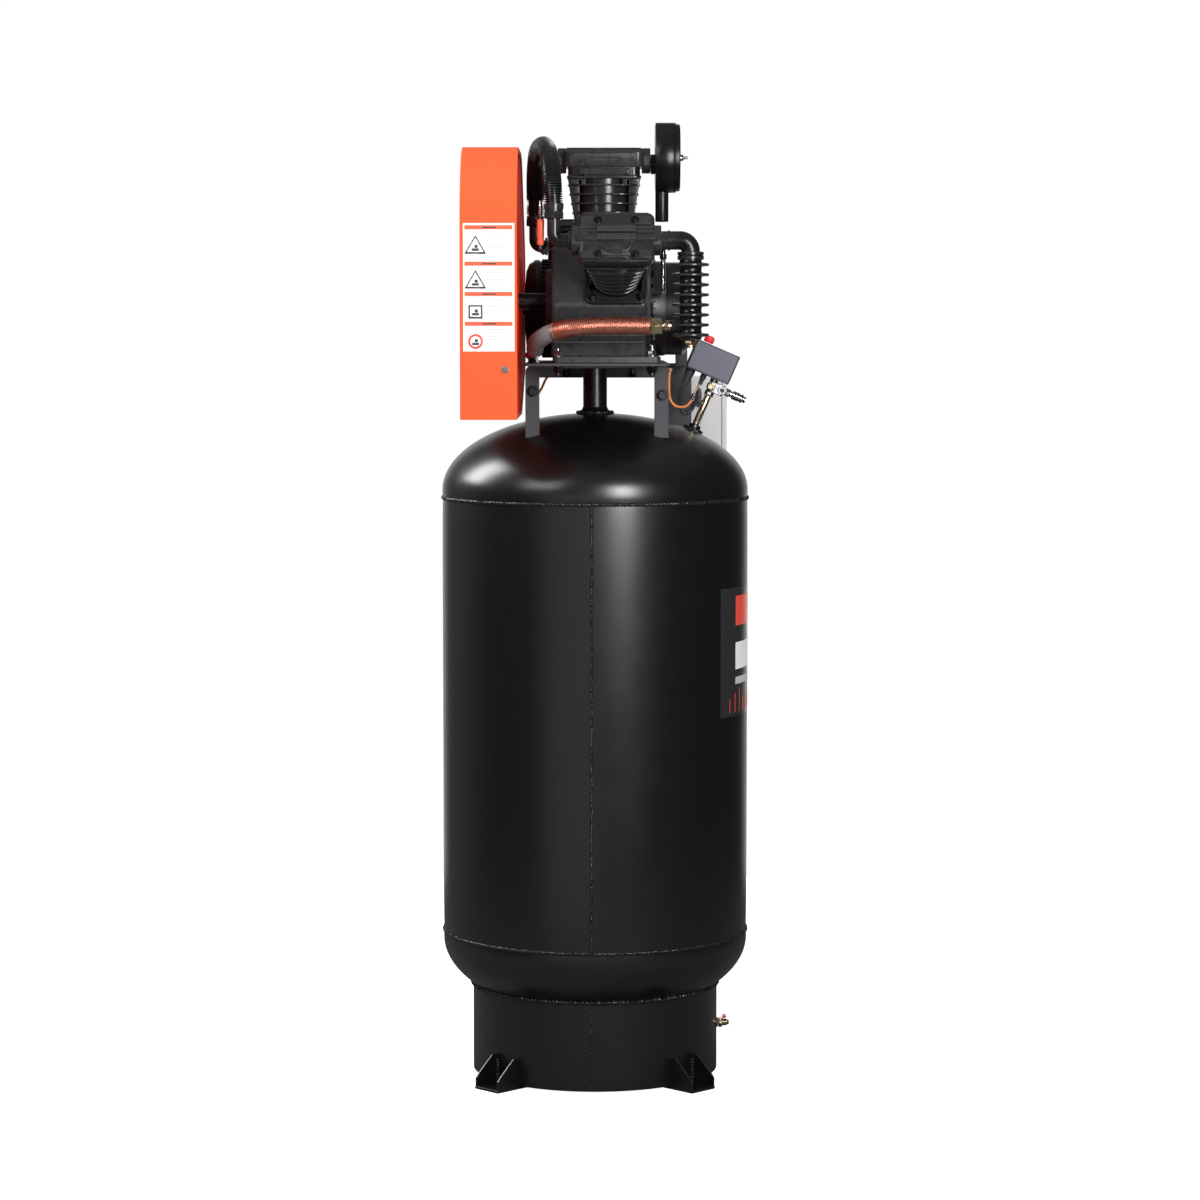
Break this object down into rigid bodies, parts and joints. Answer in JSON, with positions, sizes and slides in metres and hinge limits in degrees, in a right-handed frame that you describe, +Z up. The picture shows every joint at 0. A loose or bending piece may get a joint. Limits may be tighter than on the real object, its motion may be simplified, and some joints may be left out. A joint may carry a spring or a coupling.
{
  "type": "vertical tank air compressor",
  "caption": "Vertical air tank on a footed ring, carrying a belt-driven finned two-stage pump, motor, belt guard and pressure switch.",
  "frame": {"origin": "the tank's axis at the floor, under the feet", "axes": "+Z up; +X towards the pressure switch, -X towards the belt guard; -Y towards the pump, +Y towards the motor"},
  "size_m": [0.61, 0.9056, 1.8774],
  "materials": {
    "black_paint": "semi-gloss",
    "cast_black": "painted, rough cast",
    "grey_paint": "satin",
    "satin_black": "satin",
    "motor_black": "satin",
    "orange_paint": "gloss",
    "warm_grey_paint": "satin",
    "machined_steel": "machined",
    "chrome": "polished",
    "yellow_zinc": "yellow zinc plated",
    "brass": "machined",
    "copper": "bright copper",
    "black_plastic": "moulded",
    "red_plastic": "moulded",
    "orange_tube": "extruded",
    "belt_rubber": "matt"
  },
  "bodies": {
    "frame": {"tank_shell": "black_paint", "tank_top_head": "black_paint", "tank_bottom_head": "black_paint", "base_ring": "black_paint", "foot_1": "black_paint", "foot_2": "black_paint", "foot_3": "black_paint", "foot_4": "black_paint", "drain_pipe": "black_paint", "support_column": "black_paint", "switch_port": "black_paint", "drain_valve": "brass", "discharge_union": "brass", "check_valve": "brass", "safety_valve": "brass", "platform_plate": "grey_paint", "leg_frame_near": "grey_paint", "leg_frame_far": "grey_paint", "starter_bracket": "grey_paint", "crankcase": "cast_black", "end_cover": "cast_black", "cylinder_near": "cast_black", "cylinder_centre": "cast_black", "cylinder_far": "cast_black", "head_near": "cast_black", "head_centre": "cast_black", "head_far": "cast_black", "intercooler_line": "cast_black", "aftercooler": "cast_black", "piston_near": "machined_steel", "piston_centre": "machined_steel", "piston_far": "machined_steel", "switch_manifold": "machined_steel", "filter_canister": "satin_black", "filter_lid": "satin_black", "switch_nipple": "yellow_zinc", "discharge_tube": "copper", "switch_base": "black_plastic", "switch_cover": "black_plastic", "switch_cable": "black_plastic", "coupler_body": "chrome", "unloader_tube": "orange_tube", "motor_housing": "motor_black", "drive_belt": "belt_rubber", "guard_cover": "orange_paint", "guard_panel": "orange_paint", "starter_box": "warm_grey_paint"},
    "crank": {"crankshaft": "machined_steel", "flywheel": "cast_black"},
    "rod_near": {"rod_near": "machined_steel"},
    "rod_centre": {"rod_centre": "machined_steel"},
    "rod_far": {"rod_far": "machined_steel"},
    "motor_rotor": {"motor_rotor": "machined_steel", "motor_pulley": "cast_black"},
    "switch_knob": {"switch_knob": "red_plastic"},
    "drain_handle": {"drain_handle": "red_plastic"},
    "safety_ring": {"safety_ring": "yellow_zinc"},
    "coupler_sleeve": {"coupler_sleeve": "chrome"},
    "filter_wing_nut": {"filter_wing_nut": "yellow_zinc"},
    "starter_cover": {"starter_cover": "warm_grey_paint"}
  },
  "joints": [
    {"name": "crank_spin", "type": "hinge", "parent": "frame", "child": "crank", "pos_m": [0, -0.17, 1.536], "axis": [1, 0, 0], "continuous": true},
    {"name": "rod_near_pin", "type": "hinge", "parent": "crank", "child": "rod_near", "pos_m": [0.04, -0.17, 1.558], "axis": [1, 0, 0], "continuous": true},
    {"name": "rod_centre_pin", "type": "hinge", "parent": "crank", "child": "rod_centre", "pos_m": [0.0175, -0.17, 1.558], "axis": [1, 0, 0], "continuous": true},
    {"name": "rod_far_pin", "type": "hinge", "parent": "crank", "child": "rod_far", "pos_m": [-0.005, -0.17, 1.558], "axis": [1, 0, 0], "continuous": true},
    {"name": "motor_spin", "type": "hinge", "parent": "frame", "child": "motor_rotor", "pos_m": [0, 0.2, 1.524], "axis": [1, 0, 0], "continuous": true},
    {"name": "knob_lift", "type": "slide", "parent": "frame", "child": "switch_knob", "axis": [0.3987, 0, 0.9171], "range_m": [0, 0.006]},
    {"name": "drain_turn", "type": "hinge", "parent": "frame", "child": "drain_handle", "pos_m": [0.2592, 0, 0.1018], "axis": [0, 0, 1], "range_deg": [0, 90]},
    {"name": "ring_pull", "type": "slide", "parent": "frame", "child": "safety_ring", "axis": [0, -1, 0], "range_m": [0, 0.003]},
    {"name": "sleeve_slide", "type": "slide", "parent": "frame", "child": "coupler_sleeve", "axis": [0.9171, 0, -0.3987], "range_m": [-0.004, 0]},
    {"name": "wing_nut_turn", "type": "hinge", "parent": "frame", "child": "filter_wing_nut", "pos_m": [0.164, -0.17, 1.8104], "axis": [1, 0, 0], "continuous": true},
    {"name": "starter_cover_hinge", "type": "hinge", "parent": "frame", "child": "starter_cover", "pos_m": [0.2636, 0.4526, 1.284], "axis": [0, 0, 1], "range_deg": [0, 110]}
  ],
  "couplings": [
    {"joint": "rod_near_pin", "follows": "crank_spin", "ratio": -1},
    {"joint": "rod_centre_pin", "follows": "crank_spin", "ratio": -1},
    {"joint": "rod_far_pin", "follows": "crank_spin", "ratio": -1},
    {"joint": "motor_spin", "follows": "crank_spin", "ratio": 2.9667}
  ]
}
